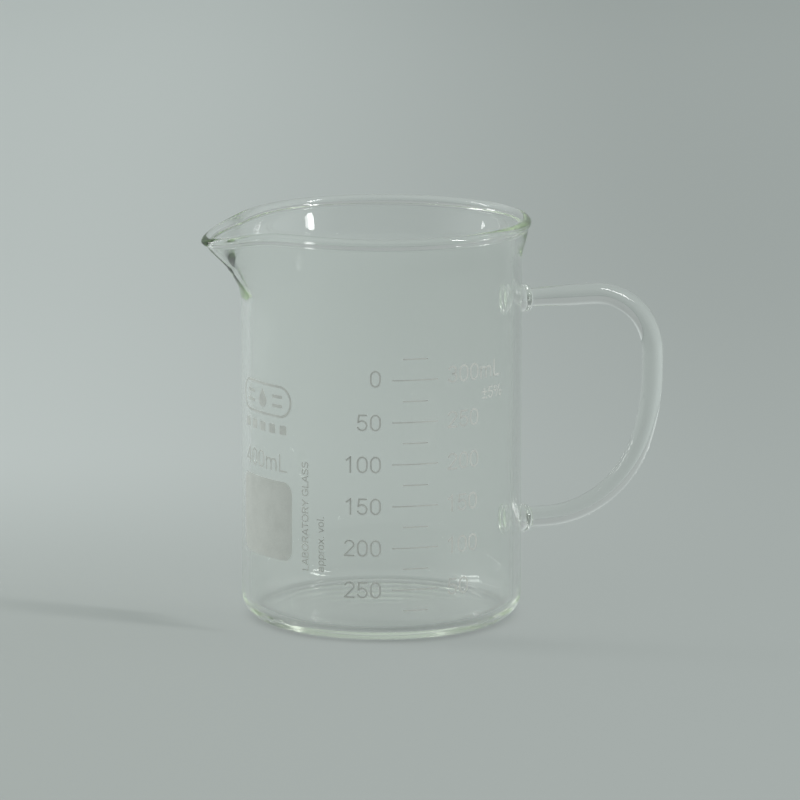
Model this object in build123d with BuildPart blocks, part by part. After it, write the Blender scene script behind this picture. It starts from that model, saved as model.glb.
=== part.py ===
# A 400 mL low-form laboratory beaker in borosilicate glass, with a pouring spout and a glass rod handle.
# The origin is the centre of the base, on the surface the beaker stands on. +Z is up, the handle points
# along +X, the spout along -X, and the printed scale faces -Y.
import os
from math import asin, cos, degrees, radians, sin

from build123d import *

os.makedirs("parts", exist_ok=True)

# Vessel
outer_radius = 39.0
wall = 2.4
floor = 3.2
heel_radius = 6.5
inner_heel_radius = 3.6
height = 112.35
inner_radius = outer_radius - wall

# Rim: a bead of fire-polished glass on a slightly flared lip
bead_radius = 1.45
bead_ring_radius = 40.05
bead_height = height - bead_radius
flare_start = 101.0

# Spout: at each height, how far the beak stands out from the axis, how round its tip is, and how thick
spout_sections = [
    (88.0, 38.8, 14.0, 2.2),
    (93.0, 41.2, 12.0, 2.2),
    (98.0, 43.7, 9.0, 2.2),
    (105.0, 48.4, 6.0, 1.9),
    (bead_height, 50.55, 4.5, bead_radius),
]
spout_half_angle = 48.0
spout_root = 26.0
spout_blend = 12.0

# Handle: a bent glass rod, and the two pads that weld it to the wall
rod_radius = 2.95
upper_rod_height = 87.0
lower_rod_height = 24.2
handle_reach = 81.5
corner_radius = 18.0
sweep_radius = 60.0
sweep_start = 64.0
heel_bend_radius = 30.0
pad_length = 5.2
pad_root = 1.5
pad_foot_radius = 4.4
pad_neck_radius = 3.5
pad_collar_radius = 3.9
pad_end_radius = 3.2

# Fired enamel print, a thin film on the outside of the wall. Angles are in degrees from -Y, towards +X
film = 0.1
print_reach = 3.0
stroke = 0.5
letter_gap = 0.17
word_gap = 0.3

# Scale and its numbers
top_line_height = 73.4
line_pitch = 11.64
line_width = 0.35
long_line = (-15.6, 3.4)
short_line = (-11.2, -0.9)
number_cap = 4.65
poured_right_angle = -20.0
content_left_angle = 7.8
content_right_angle = 37.7
tolerance_height = 67.2
tolerance_cap = 3.2
tolerance_stroke = 0.38

# Label to the left of the scale: emblem, capacity, writing patch and two notes that read upwards
label_angle = -76.4
capacity_height = 48.3
capacity_cap = 4.9
patch_width = 24.0
patch_base = 21.2
patch_height = 22.0
patch_corner = 3.0
note_base = 19.5
type_note_stroke = 0.34
volume_note_stroke = 0.28
type_note_angle = -52.6
type_note_cap = 2.4
volume_note_angle = -45.4
volume_note_cap = 2.1
emblem_width = 24.0
emblem_depth = 9.0
emblem_corner = 4.4
emblem_line = 0.7
emblem_height = 65.4
emblem_bar = 4.0
emblem_bar_pitch = 13.0
emblem_bar_gap = 2.6
emblem_row_height = 57.6
emblem_square = 2.6
emblem_square_pitch = 4.4
emblem_squares = 5
drop_radius = 1.9
drop_apex = 3.4


# Stroke letters on a cap height of 1: straight bars from point to point, then bows given as centre x and y,
# radius, first and last angle in degrees
glyphs = {
    "0": (
        [((0.05, 0.32), (0.05, 0.68)), ((0.6, 0.32), (0.6, 0.68))],
        [(0.325, 0.68, 0.275, 0, 180), (0.325, 0.32, 0.275, 180, 360)],
    ),
    "1": ([((0.35, 0.05), (0.35, 0.95)), ((0.35, 0.95), (0.12, 0.76))], []),
    "2": ([((0.55, 0.517), (0.07, 0.05)), ((0.07, 0.05), (0.6, 0.05))], [(0.325, 0.675, 0.275, -35, 170)]),
    "3": ([], [(0.31, 0.735, 0.215, -90, 160), (0.31, 0.285, 0.235, -160, 90)]),
    "4": ([((0.46, 0.05), (0.46, 0.95)), ((0.46, 0.95), (0.05, 0.3)), ((0.05, 0.3), (0.6, 0.3))], []),
    "5": ([((0.14, 0.95), (0.55, 0.95)), ((0.14, 0.95), (0.1, 0.53))], [(0.31, 0.335, 0.285, -155, 137)]),
    "m": (
        [((0.06, 0.05), (0.06, 0.7)), ((0.41, 0.05), (0.41, 0.525)), ((0.76, 0.05), (0.76, 0.525))],
        [(0.235, 0.525, 0.175, 0, 180), (0.585, 0.525, 0.175, 0, 180)],
    ),
    "L": ([((0.06, 0.95), (0.06, 0.05)), ((0.06, 0.05), (0.5, 0.05))], []),
    "±": ([((0.3, 0.92), (0.3, 0.38)), ((0.05, 0.65), (0.55, 0.65)), ((0.05, 0.1), (0.55, 0.1))], []),
    "%": ([((0.62, 0.95), (0.2, 0.05))], [(0.2, 0.77, 0.15, 0, 360), (0.62, 0.23, 0.15, 0, 360)]),
    "A": ([((0.05, 0.05), (0.33, 0.95)), ((0.33, 0.95), (0.61, 0.05)), ((0.15, 0.36), (0.51, 0.36))], []),
    "B": (
        [((0.06, 0.05), (0.06, 0.95)), ((0.06, 0.95), (0.34, 0.95)), ((0.06, 0.52), (0.36, 0.52))]
        + [((0.06, 0.05), (0.36, 0.05))],
        [(0.34, 0.735, 0.215, -90, 90), (0.36, 0.285, 0.235, -90, 90)],
    ),
    "G": (
        [((0.05, 0.36), (0.05, 0.64)), ((0.67, 0.36), (0.67, 0.48)), ((0.67, 0.48), (0.4, 0.48))],
        [(0.36, 0.64, 0.31, 25, 180), (0.36, 0.36, 0.31, 180, 360)],
    ),
    "O": (
        [((0.05, 0.36), (0.05, 0.64)), ((0.67, 0.36), (0.67, 0.64))],
        [(0.36, 0.64, 0.31, 0, 180), (0.36, 0.36, 0.31, 180, 360)],
    ),
    "R": (
        [((0.06, 0.05), (0.06, 0.95)), ((0.06, 0.95), (0.35, 0.95)), ((0.06, 0.48), (0.35, 0.48))]
        + [((0.34, 0.48), (0.6, 0.05))],
        [(0.35, 0.715, 0.235, -90, 90)],
    ),
    "S": ([], [(0.31, 0.725, 0.225, 20, 270), (0.31, 0.275, 0.225, -160, 90)]),
    "T": ([((0.05, 0.95), (0.6, 0.95)), ((0.325, 0.95), (0.325, 0.05))], []),
    "Y": ([((0.05, 0.95), (0.33, 0.5)), ((0.61, 0.95), (0.33, 0.5)), ((0.33, 0.5), (0.33, 0.05))], []),
    "a": ([((0.62, 0.05), (0.62, 0.62))], [(0.335, 0.335, 0.285, 0, 360)]),
    "l": ([((0.06, 0.05), (0.06, 0.95))], []),
    "o": ([], [(0.335, 0.335, 0.285, 0, 360)]),
    "p": ([((0.06, -0.22), (0.06, 0.62))], [(0.345, 0.335, 0.285, 0, 360)]),
    "r": ([((0.06, 0.05), (0.06, 0.62))], [(0.26, 0.42, 0.2, 30, 180)]),
    "v": ([((0.05, 0.62), (0.29, 0.05)), ((0.53, 0.62), (0.29, 0.05))], []),
    "x": ([((0.05, 0.05), (0.5, 0.62)), ((0.05, 0.62), (0.5, 0.05))], []),
    ".": ([((0.06, 0.05), (0.06, 0.09))], []),
}


def spout_profile(reach, tip, height_above_base):
    """Outline of the beak at one height: a round tip between two straight flanks."""
    lean = radians(spout_half_angle)
    centre = -(reach - tip)
    touch_x, touch_y = centre - tip * sin(lean), tip * cos(lean)
    root_y = touch_y + (-spout_root - touch_x) * sin(lean) / cos(lean)
    with BuildSketch(Plane.XY.offset(height_above_base)) as profile:
        with BuildLine():
            ThreePointArc((touch_x, touch_y), (-reach, 0), (touch_x, -touch_y))
            Polyline((touch_x, -touch_y), (-spout_root, -root_y), (-spout_root, root_y), (touch_x, touch_y))
        make_face()
    return profile.sketch


# Vessel: turned wall and floor, then the beak, hollowed out in the same order
outer_beak = [spout_profile(reach, tip, z) for z, reach, tip, _ in spout_sections]
inner_beak = [spout_profile(reach - thickness, tip, z) for z, reach, tip, thickness in spout_sections]

with BuildSketch(Plane.XY.offset(bead_height)) as rim_outline:
    Circle(bead_ring_radius)
    add(outer_beak[-1])
    rim_corners = rim_outline.vertices().sort_by(Axis.Y)
    fillet([rim_corners[0], rim_corners[-1]], spout_blend)
rim_path = rim_outline.sketch.face().outer_wire()

with BuildPart() as vessel:
    with BuildSketch(Plane.XZ) as outside:
        with BuildLine():
            Line((0, 0), (outer_radius - heel_radius, 0))
            RadiusArc((outer_radius - heel_radius, 0), (outer_radius, heel_radius), -heel_radius)
            Line((outer_radius, heel_radius), (outer_radius, flare_start))
            Spline((outer_radius, flare_start), (bead_ring_radius, bead_height), tangents=[(0, 1), (0.3, 1)])
            Polyline((bead_ring_radius, bead_height), (0, bead_height), (0, 0))
        make_face()
    revolve(axis=Axis.Z)
    loft(outer_beak)
    with BuildSketch(Plane.XZ) as inside:
        with BuildLine():
            Line((0, floor), (inner_radius - inner_heel_radius, floor))
            RadiusArc(
                (inner_radius - inner_heel_radius, floor),
                (inner_radius, floor + inner_heel_radius),
                -inner_heel_radius,
            )
            Line((inner_radius, floor + inner_heel_radius), (inner_radius, flare_start))
            Spline(
                (inner_radius, flare_start),
                (bead_ring_radius - bead_radius, bead_height),
                tangents=[(0, 1), (0.1, 1)],
            )
            Polyline((bead_ring_radius - bead_radius, bead_height), (0, bead_height), (0, floor))
        make_face()
    revolve(axis=Axis.Z, mode=Mode.SUBTRACT)
    loft(inner_beak, mode=Mode.SUBTRACT)
    with BuildSketch(Plane(origin=rim_path @ 0, z_dir=rim_path % 0)) as bead:
        Circle(bead_radius)
    sweep(sections=bead.sketch, path=rim_path)
vessel.part.label = "vessel"
export_step(vessel.part, "parts/vessel.step")


# Handle rod: a tight bend at the top, a long sweeping one below
sweep_centre = (handle_reach - sweep_radius, sweep_start)
heel_bend_height = lower_rod_height + heel_bend_radius
drop = (sweep_start - heel_bend_height) / (sweep_radius - heel_bend_radius)
reach_back = (1 - drop**2) ** 0.5
heel_bend_x = sweep_centre[0] + (sweep_radius - heel_bend_radius) * reach_back
sweep_end = (sweep_centre[0] + sweep_radius * reach_back, sweep_start - sweep_radius * drop)
rod_start = outer_radius + pad_length

with BuildPart() as handle:
    with BuildLine(Plane.XZ) as rod_path:
        Line((rod_start, upper_rod_height), (handle_reach - corner_radius, upper_rod_height))
        RadiusArc(
            (handle_reach - corner_radius, upper_rod_height),
            (handle_reach, upper_rod_height - corner_radius),
            corner_radius,
        )
        Line((handle_reach, upper_rod_height - corner_radius), (handle_reach, sweep_start))
        RadiusArc((handle_reach, sweep_start), sweep_end, sweep_radius)
        RadiusArc(sweep_end, (heel_bend_x, lower_rod_height), heel_bend_radius)
        Line((heel_bend_x, lower_rod_height), (rod_start, lower_rod_height))
    with BuildSketch(Plane(origin=rod_path.line @ 0, z_dir=rod_path.line % 0)):
        Circle(rod_radius)
    sweep(path=rod_path.line)
handle.part.label = "handle"
export_step(handle.part, "parts/handle.step")


# Weld pads: each is a button of glass pressed between the wall and the end of the rod
def weld_pad(label, pad_height):
    """A turned pad, from inside the wall's outer face to the end of the rod."""
    pad_plane = Plane(origin=(outer_radius, 0, pad_height), x_dir=(1, 0, 0), z_dir=(0, -1, 0))
    with BuildPart() as pad:
        with BuildSketch(pad_plane):
            with BuildLine():
                Polyline((-pad_root, 0), (-pad_root, pad_foot_radius), (0, pad_foot_radius))
                Spline(
                    (0, pad_foot_radius),
                    (2.0, pad_neck_radius),
                    (3.9, pad_collar_radius),
                    (pad_length, pad_end_radius),
                    tangents=[(1, -0.6), (0.4, -1)],
                )
                Polyline((pad_length, pad_end_radius), (pad_length, 0), (-pad_root, 0))
            make_face()
        revolve(axis=Axis((0, 0, pad_height), (1, 0, 0)))
        with BuildSketch(Plane.XY.offset(pad_height - 2 * pad_foot_radius)):
            Circle(outer_radius)
        extrude(amount=4 * pad_foot_radius, mode=Mode.SUBTRACT)
    pad.part.label = label
    export_step(pad.part, f"parts/{label}.step")


weld_pad("upper_handle_pad", upper_rod_height)
weld_pad("lower_handle_pad", lower_rod_height)


# Print: everything is drawn flat on a plane that touches the wall, pushed through it, and then cut
# down to a film that hugs the glass
def wall_plane(angle, z, upwards=False, shift=(0, 0)):
    """A plane that touches the wall at an angle and a height, facing outwards.

    Its x axis runs round the wall, or upwards along it, and its origin may be shifted in the plane."""
    outward = Vector(sin(radians(angle)), -cos(radians(angle)), 0)
    along = Vector(0, 0, 1) if upwards else Vector(cos(radians(angle)), sin(radians(angle)), 0)
    across = outward.cross(along)
    touch = outward * outer_radius + Vector(0, 0, z)
    return Plane(origin=touch + along * shift[0] + across * shift[1], x_dir=along, z_dir=outward)


with BuildPart() as film_shell:
    with BuildSketch(Plane.XY):
        Circle(outer_radius + film)
        Circle(outer_radius, mode=Mode.SUBTRACT)
    extrude(amount=height)


def save_print(label, enamel):
    enamel.part.label = label
    export_step(enamel.part, f"parts/{label}.step")


def glyph_width(character, cap):
    """Width of one character's strokes, centre line to centre line."""
    bars, bows = glyphs[character]
    return cap * max([x for bar in bars for x, _ in bar] + [x + r for x, _, r, _, _ in bows])


def line_of_text(text, angle, z, cap, start_share, upwards=False):
    """Places the characters of one line, as (character, plane, cap height).

    start_share is how much of the line lies before its anchor: 0 for left, 0.5 for centred, 1 for
    right. A line runs round the wall at mid height z, or upwards along it from z."""
    widths = [word_gap * cap if c == " " else glyph_width(c, cap) for c in text]
    gap = letter_gap * cap
    length = sum(widths) + gap * (len(text) - 1)
    start = -start_share * length
    placed = []
    for character, width in zip(text, widths):
        middle = start + width / 2
        start += width + gap
        if character == " ":
            continue
        turn, rise = (0, middle) if upwards else (degrees(middle / outer_radius), 0)
        corner = (-width / 2, -cap / 2)
        placed.append((character, wall_plane(angle + turn, z + rise, upwards, corner), cap))
    return placed


def print_text(label, characters, stroke):
    """One node of enamel characters, each a flat film that touches the wall."""
    with BuildPart() as enamel:
        for character, plane, cap in characters:
            bars, bows = glyphs[character]
            with BuildSketch(plane):
                for start, end in bars:
                    with BuildLine(mode=Mode.PRIVATE) as middle:
                        Line(Vector(*start) * cap, Vector(*end) * cap)
                    SlotArc(middle.edge(), stroke)
                for x, y, radius, first, last in bows:
                    if last - first == 360:
                        with Locations((x * cap, y * cap)):
                            Circle(radius * cap + stroke / 2)
                            Circle(radius * cap - stroke / 2, mode=Mode.SUBTRACT)
                    else:
                        with BuildLine(mode=Mode.PRIVATE) as middle:
                            CenterArc((x * cap, y * cap), radius * cap, first, last - first)
                        SlotArc(middle.edge(), stroke)
            extrude(amount=film, dir=plane.z_dir)
    save_print(label, enamel)


def level(millilitres):
    """Height of a scale line, counted down from the 300 mL line."""
    return top_line_height - (300 - millilitres) / 50 * line_pitch


# Scale: a long line each 50 mL and a short one halfway between, up to 325 mL
with BuildPart() as scale_lines:
    for millilitres in range(25, 326, 25):
        first, last = long_line if millilitres % 50 == 0 else short_line
        with BuildSketch(wall_plane((first + last) / 2, level(millilitres))):
            Rectangle(2 * outer_radius * sin(radians((last - first) / 2)), line_width)
        extrude(amount=print_reach, both=True)
    add(film_shell.part, mode=Mode.INTERSECT)
save_print("scale_lines", scale_lines)

# Numbers: what the beaker holds on the right of the lines, and what has been poured out on the left
content_numbers = []
poured_numbers = []
for millilitres in range(50, 301, 50):
    content = f"{millilitres}mL" if millilitres == 300 else f"{millilitres}"
    content_numbers += line_of_text(content, content_left_angle, level(millilitres), number_cap, 0)
    poured = f"{300 - millilitres}"
    poured_numbers += line_of_text(poured, poured_right_angle, level(millilitres), number_cap, 1)
print_text("content_numbers", content_numbers, stroke)
print_text("poured_numbers", poured_numbers, stroke)
tolerance = line_of_text("±5%", content_right_angle, tolerance_height, tolerance_cap, 1)
print_text("tolerance_mark", tolerance, tolerance_stroke)
capacity = line_of_text("400mL", label_angle, capacity_height, capacity_cap, 0.5)
print_text("capacity_mark", capacity, stroke)
glass_type = line_of_text("LABORATORY GLASS", type_note_angle, note_base, type_note_cap, 0, True)
print_text("glass_type_note", glass_type, type_note_stroke)
approx_volume = line_of_text("approx. vol.", volume_note_angle, note_base, volume_note_cap, 0, True)
print_text("approx_volume_note", approx_volume, volume_note_stroke)

# Writing patch: a plain field to write on in pencil
with BuildPart() as writing_patch:
    with BuildSketch(wall_plane(label_angle, patch_base + patch_height / 2)):
        RectangleRounded(patch_width, patch_height, patch_corner)
    extrude(amount=print_reach, both=True)
    add(film_shell.part, mode=Mode.INTERSECT)
save_print("writing_patch", writing_patch)

# Plain emblem: a drop in a rounded frame with two bars beside it, over a row of squares
drop_touch = asin(drop_radius / drop_apex)
with BuildPart() as emblem:
    with BuildSketch(wall_plane(label_angle, emblem_height)):
        RectangleRounded(emblem_width, emblem_depth, emblem_corner)
        offset(amount=-emblem_line, mode=Mode.SUBTRACT)
        Circle(drop_radius)
        with BuildLine():
            Polyline(
                (-drop_radius * cos(drop_touch), drop_radius * sin(drop_touch)),
                (0, drop_apex),
                (drop_radius * cos(drop_touch), drop_radius * sin(drop_touch)),
                close=True,
            )
        make_face()
        with GridLocations(emblem_bar_pitch, emblem_bar_gap, 2, 2):
            Rectangle(emblem_bar, emblem_line)
    extrude(amount=print_reach, both=True)
    with BuildSketch(wall_plane(label_angle, emblem_row_height)):
        with GridLocations(emblem_square_pitch, 1, emblem_squares, 1):
            Rectangle(emblem_square, emblem_square)
    extrude(amount=print_reach, both=True)
    add(film_shell.part, mode=Mode.INTERSECT)
save_print("plain_emblem", emblem)
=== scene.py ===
import math

import bmesh
import bpy
from mathutils import Matrix, Vector


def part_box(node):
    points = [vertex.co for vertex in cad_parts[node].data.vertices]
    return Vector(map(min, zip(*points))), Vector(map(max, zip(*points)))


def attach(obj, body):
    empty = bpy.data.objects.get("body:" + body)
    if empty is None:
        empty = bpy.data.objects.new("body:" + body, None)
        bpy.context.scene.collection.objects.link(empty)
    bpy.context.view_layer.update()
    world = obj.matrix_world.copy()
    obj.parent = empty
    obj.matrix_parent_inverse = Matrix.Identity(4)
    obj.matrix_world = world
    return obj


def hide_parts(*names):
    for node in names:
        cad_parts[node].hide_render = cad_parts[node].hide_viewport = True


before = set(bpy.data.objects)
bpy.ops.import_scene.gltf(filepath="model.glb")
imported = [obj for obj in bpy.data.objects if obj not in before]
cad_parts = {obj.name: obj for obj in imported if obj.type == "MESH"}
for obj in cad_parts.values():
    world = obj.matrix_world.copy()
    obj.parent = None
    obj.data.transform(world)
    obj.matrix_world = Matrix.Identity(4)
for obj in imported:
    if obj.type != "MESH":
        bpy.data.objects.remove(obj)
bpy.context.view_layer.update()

# A 400 mL beaker of clear borosilicate glass. The handle points along +X, the spout along -X and the
# printed scale faces -Y. Sizes in the dictionaries are millimetres and angles are degrees. Finishes,
# the floor, the room and distances to lamps and camera are in metres.
mm = 0.001
vesselLow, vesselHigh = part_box("vessel")
handleLow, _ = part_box("handle")
body = "root"
mergeDistance = 1e-6


class Wire:
    # One output of a node. Sums on it add Math nodes to the same tree.
    def __init__(self, graph, socket):
        self.graph, self.socket = graph, socket

    def sum(self, operation, *others):
        terms = dict(enumerate((self, *others)))
        return self.graph.node("ShaderNodeMath", {"operation": operation}, terms)

    def after(self, operation, other):
        # the same sum with this socket as its second term
        return self.graph.node("ShaderNodeMath", {"operation": operation}, {0: other, 1: self})

    def __add__(self, other):
        return self.sum("ADD", other)

    def __radd__(self, other):
        return self.sum("ADD", other)

    def __sub__(self, other):
        return self.sum("SUBTRACT", other)

    def __rsub__(self, other):
        return self.after("SUBTRACT", other)

    def __mul__(self, other):
        return self.sum("MULTIPLY", other)

    def __rmul__(self, other):
        return self.sum("MULTIPLY", other)

    def __truediv__(self, other):
        return self.sum("DIVIDE", other)

    def __rtruediv__(self, other):
        return self.after("DIVIDE", other)

    def __pow__(self, other):
        return self.sum("POWER", other)

    def __rpow__(self, other):
        return self.after("POWER", other)

    def bell(self):
        # 1 at zero, falling off smoothly to both sides
        return (self * self * -1.0).sum("EXPONENT")


class Graph:
    # A node tree that is being wired up.
    def __init__(self, tree):
        self.tree = tree

    def node(self, kind, settings=None, inputs=None, output=0):
        made = self.tree.nodes.new(kind)
        for name, value in (settings or {}).items():
            if name == "stops":
                ramp = made.color_ramp
                while len(ramp.elements) < len(value):
                    ramp.elements.new(0.5)
                for element, (place, colour) in zip(ramp.elements, value):
                    element.position, element.color = place, colour
            else:
                setattr(made, name, value)
        for key, value in (inputs or {}).items():
            socket = made.inputs[key]
            if isinstance(value, Wire):
                self.tree.links.new(value.socket, socket)
            else:
                socket.default_value = value
        return Wire(self, made.outputs[output]) if len(made.outputs) else made

    def outputs(self, wire):
        return [Wire(self, socket) for socket in wire.socket.node.outputs if socket.enabled]

    def noise(self, place, scale, detail):
        return self.node(
            "ShaderNodeTexNoise",
            {"noise_dimensions": "3D"},
            {"Vector": place, "Scale": scale, "Detail": detail},
        )

    def ease(self, value, span, low=0.0, high=1.0):
        # turns softly from low to high while the value crosses the span
        return self.node(
            "ShaderNodeMapRange",
            {"interpolation_type": "SMOOTHSTEP"},
            {"Value": value, "From Min": span[0], "From Max": span[1], "To Min": low, "To Max": high},
        )


def keep(name, mesh, material, nodes, slot):
    # A finished piece: its object at the origin, riding on the one body, in place of its CAD nodes.
    piece = bpy.data.objects.new(name, mesh)
    bpy.context.collection.objects.link(piece)
    mesh.materials.clear()
    mesh.materials.append(material)
    mesh.update()
    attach(piece, body)
    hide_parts(*nodes)
    if slot == "clear_glass":
        # thin clear glass hardly shades what stands round it
        piece.visible_shadow = False
        piece.visible_diffuse = False
    return piece


def growTree(name, values):
    # A Geometry Nodes tree with one named input for each value, its graph, and those inputs.
    tree = bpy.data.node_groups.new(name, "GeometryNodeTree")
    tree.interface.new_socket("Geometry", in_out="OUTPUT", socket_type="NodeSocketGeometry")
    kinds = {int: "Int", float: "Float", bpy.types.Object: "Object", bpy.types.Material: "Material"}
    for label, value in values.items():
        tree.interface.new_socket(label, in_out="INPUT", socket_type="NodeSocket" + kinds[type(value)])
    graph = Graph(tree)
    entry = tree.nodes.new("NodeGroupInput")
    return tree, graph, {socket.name: Wire(graph, socket) for socket in entry.outputs if socket.name}


def bake(name, tree, values):
    # Runs a tree with its input values and gives back the plain mesh.
    carrier = bpy.data.objects.new(name + "Carrier", bpy.data.meshes.new(name + "Carrier"))
    bpy.context.collection.objects.link(carrier)
    modifier = carrier.modifiers.new(name, "NODES")
    modifier.node_group = tree
    for item in tree.interface.items_tree:
        if item.in_out == "INPUT":
            modifier[item.identifier] = values[item.name]
    bpy.context.view_layer.update()
    ready = carrier.evaluated_get(bpy.context.evaluated_depsgraph_get())
    mesh = bpy.data.meshes.new_from_object(ready)
    mesh.name = name
    carrier.modifiers.remove(modifier)
    bpy.data.objects.remove(carrier)
    return mesh


def finishTree(graph, geometry, material):
    # Every tree ends the same way: real geometry with its material.
    real = graph.node("GeometryNodeRealizeInstances", None, {"Geometry": geometry})
    dressed = graph.node("GeometryNodeSetMaterial", None, {"Geometry": real, "Material": material})
    graph.node("NodeGroupOutput", None, {"Geometry": dressed})


def startMaterial(name):
    # An empty material and the graph to wire it with.
    material = bpy.data.materials.new(name)
    material.use_nodes = True
    material.node_tree.nodes.clear()
    return material, Graph(material.node_tree)


# clear glass: each piece has its own waves, left by the flame
glassFinish = {
    "ior": 1.474,
    "tint": (0.985, 0.995, 0.985, 1.0),
    "depthColour": (0.78, 0.86, 0.70, 1.0),
    "depthDensity": 4.5,
    "vesselWaves": {"waveScale": (40.0, 40.0, 9.0), "waveDepth": 0.00002},
    "rodWaves": {"waveScale": (60.0, 60.0, 60.0), "waveDepth": 0.00003},
    "padWaves": {"waveScale": (260.0, 260.0, 260.0), "waveDepth": 0.00012},
    "waveDetail": 1.5,
    "smearScale": 55.0,
    "smearDetail": 3.0,
    "smearSpan": (0.5, 0.75),
    "smear": 0.015,
}


def clearGlass(name, waveScale, waveDepth):
    # Fire-polished borosilicate: clear, a trace of green where it is deep, with faint waves and smears.
    finish = glassFinish
    material, graph = startMaterial(name)
    place = graph.node("ShaderNodeTexCoord", output="Object")
    stretched = graph.node("ShaderNodeMapping", None, {"Vector": place, "Scale": waveScale})
    waves = graph.noise(stretched, 1.0, finish["waveDetail"])
    bump = graph.node("ShaderNodeBump", None, {"Height": waves, "Strength": 1.0, "Distance": waveDepth})
    smears = graph.noise(place, finish["smearScale"], finish["smearDetail"])
    smearLow, smearHigh = finish["smearSpan"]
    roughness = graph.node(
        "ShaderNodeMapRange",
        {"clamp": True},
        {
            "Value": smears,
            "From Min": smearLow,
            "From Max": smearHigh,
            "To Min": 0.0,
            "To Max": finish["smear"],
        },
    )
    shader = graph.node(
        "ShaderNodeBsdfPrincipled",
        None,
        {
            "Base Color": finish["tint"],
            "Roughness": roughness,
            "IOR": finish["ior"],
            "Transmission Weight": 1.0,
            "Normal": bump,
        },
    )
    depth = graph.node(
        "ShaderNodeVolumeAbsorption",
        None,
        {"Color": finish["depthColour"], "Density": finish["depthDensity"]},
    )
    graph.node("ShaderNodeOutputMaterial", None, {"Surface": shader, "Volume": depth})
    return material


enamelFinish = {
    "colour": (0.74, 0.75, 0.71, 1.0),
    "thin": (0.62, 0.63, 0.60, 1.0),
    "patch": (0.74, 0.75, 0.71, 1.0),
    "patchThin": (0.67, 0.68, 0.64, 1.0),
    "grain": 2600.0,
    "cloud": 220.0,
    "detail": 2.0,
    "grainShare": 0.5,
    "toneSpan": (0.35, 0.6),
    "grainStrength": 0.5,
    "grainDepth": 0.00002,
    "roughness": 0.315,
    "wornRoughness": 0.3,
}


def firedEnamel(name, colour, thin):
    # Screen-printed ceramic ink: fine grain and broader clouds where the layer is thinner.
    finish = enamelFinish
    material, graph = startMaterial(name)
    place = graph.node("ShaderNodeTexCoord", output="Object")
    grain = graph.noise(place, finish["grain"], finish["detail"])
    cloud = graph.noise(place, finish["cloud"], finish["detail"])
    wear = grain * finish["grainShare"] + cloud * (1 - finish["grainShare"])
    stops = list(zip(finish["toneSpan"], (thin, colour)))
    tone = graph.node("ShaderNodeValToRGB", {"stops": stops}, {"Fac": wear})
    bump = graph.node(
        "ShaderNodeBump",
        None,
        {"Height": grain, "Strength": finish["grainStrength"], "Distance": finish["grainDepth"]},
    )
    roughness = wear * finish["wornRoughness"] + finish["roughness"]
    shader = graph.node(
        "ShaderNodeBsdfPrincipled", None, {"Base Color": tone, "Roughness": roughness, "Normal": bump}
    )
    graph.node("ShaderNodeOutputMaterial", None, {"Surface": shader})
    return material


vesselGlass = clearGlass("vesselGlass", **glassFinish["vesselWaves"])
rodGlass = clearGlass("rodGlass", **glassFinish["rodWaves"])
padGlass = clearGlass("padGlass", **glassFinish["padWaves"])
whiteEnamel = firedEnamel("whiteEnamel", enamelFinish["colour"], enamelFinish["thin"])
patchEnamel = firedEnamel("patchEnamel", enamelFinish["patch"], enamelFinish["patchThin"])

# the blown body, from the hollow under its base to the spout
vessel = {
    "outerRadius": 39.0,
    "wall": 2.4,
    "floor": 3.2,
    "heelRadius": 6.5,
    "innerHeelRadius": 3.6,
    "punt": 0.6,
    "puntRadius": 30.0,
    "puntEdge": 0.12,
    "flareStart": 101.0,
    "beadRadius": 1.45,
    "beadTurn": (-62, 190),
    "spoutStart": 92.0,
    "spoutEase": 0.1,
    "spoutHalfAngle": 38.5,
    "tipRound": 6.5,
    "rootWidth": 30.0,
    "rootShare": 1.4,
    "spoutBlend": 4.5,
    "pinch": 0.9,
    "pinchAngle": 42.0,
    "pinchWidth": 22.0,
    "tipDrop": 3.3,
    "tipDropWidth": 12.8,
    "tipDropShape": 1.7,
    "segments": 320,
    "gather": 0.62,
    "steps": {"punt": 6, "heel": 14, "wall": 26, "flare": 10, "bead": 30, "innerHeel": 12, "floor": 8},
}
beadRing = vesselHigh.y - vessel["beadRadius"] * mm
rimHeight = vesselHigh.z
spoutReach = -vesselLow.x - vessel["beadRadius"] * mm


def arc(centre, radius, first, last, steps):
    # Points of a round stretch of the profile, as (distance from the axis, height).
    turns = [math.radians(first + (last - first) * step / steps) for step in range(steps + 1)]
    return [(centre[0] + radius * math.cos(turn), centre[1] + radius * math.sin(turn)) for turn in turns]


def run(start, end, steps, ease=False):
    # Points strictly between two ends of the profile, straight or with an S-shaped flare.
    points = []
    for step in range(1, steps):
        share = step / steps
        across = share * share * (3 - 2 * share) if ease else share
        points.append((start[0] + (end[0] - start[0]) * across, start[1] + (end[1] - start[1]) * share))
    return points


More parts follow.
